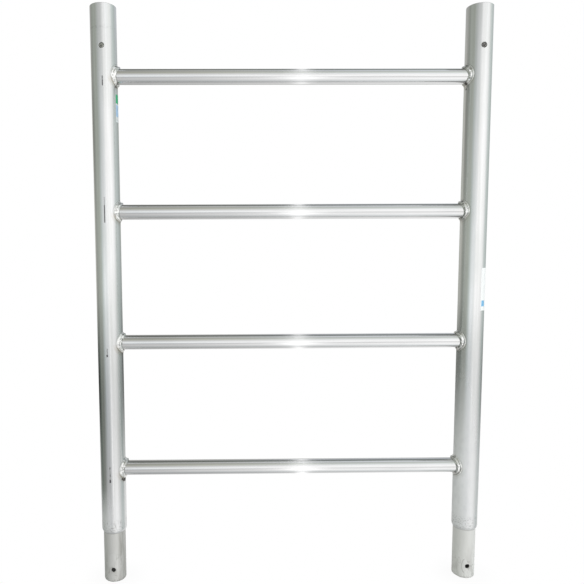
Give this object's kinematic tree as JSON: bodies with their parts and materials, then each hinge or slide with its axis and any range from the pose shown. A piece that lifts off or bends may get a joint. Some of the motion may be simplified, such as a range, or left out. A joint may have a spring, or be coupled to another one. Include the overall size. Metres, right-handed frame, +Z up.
{
  "type": "scaffold frame",
  "caption": "Welded aluminium ladder frame for a scaffold tower, with round rungs, open tube heads and spigots at its feet that plug into the frame below.",
  "frame": {"origin": "on the ground under the middle of the frame, level with the lower ends of the spigots", "axes": "+Z up along the uprights, +X along the rungs to the right in the picture, +Y away from the viewer"},
  "size_m": [0.7484, 0.0482, 1.1],
  "materials": {
    "upright": "mill finish, satin",
    "rung": "drawn tube, semi-bright with lengthwise die lines",
    "spigot": "dull, drawn lengthwise",
    "weld": "bright rippled bead"
  },
  "bodies": {
    "root": {"upright_left": "upright", "spigot_left": "spigot", "upright_right": "upright", "spigot_right": "spigot", "rung_1": "rung", "welds_1": "weld", "rung_2": "rung", "welds_2": "weld", "rung_3": "rung", "welds_3": "weld", "rung_4": "rung", "welds_4": "weld"}
  },
  "joints": []
}
